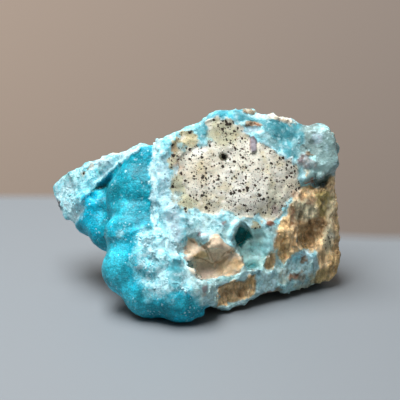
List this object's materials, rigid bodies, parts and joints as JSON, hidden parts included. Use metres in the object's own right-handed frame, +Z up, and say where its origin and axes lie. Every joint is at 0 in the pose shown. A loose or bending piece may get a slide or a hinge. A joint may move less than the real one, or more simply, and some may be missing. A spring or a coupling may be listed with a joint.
{
  "type": "hemimorphite hand specimen",
  "caption": "Rough blue hemimorphite specimen: a lobed crust with a thin wing on a speckled pale matrix, with a small vug, resting on its broken base.",
  "frame": {"origin": "under the middle of the specimen's box, on the surface that it stands on", "axes": "+X to the right along the longest side, +Y to the back, +Z up; the lobed crust and the vug face -Y"},
  "size_m": [0.106, 0.07, 0.064],
  "materials": {
    "hemimorphite": "sparkling blue crust with a satin gloss, over matt cream matrix and brown clay"
  },
  "bodies": {
    "root": {"hemimorphite": "hemimorphite"}
  },
  "joints": []
}
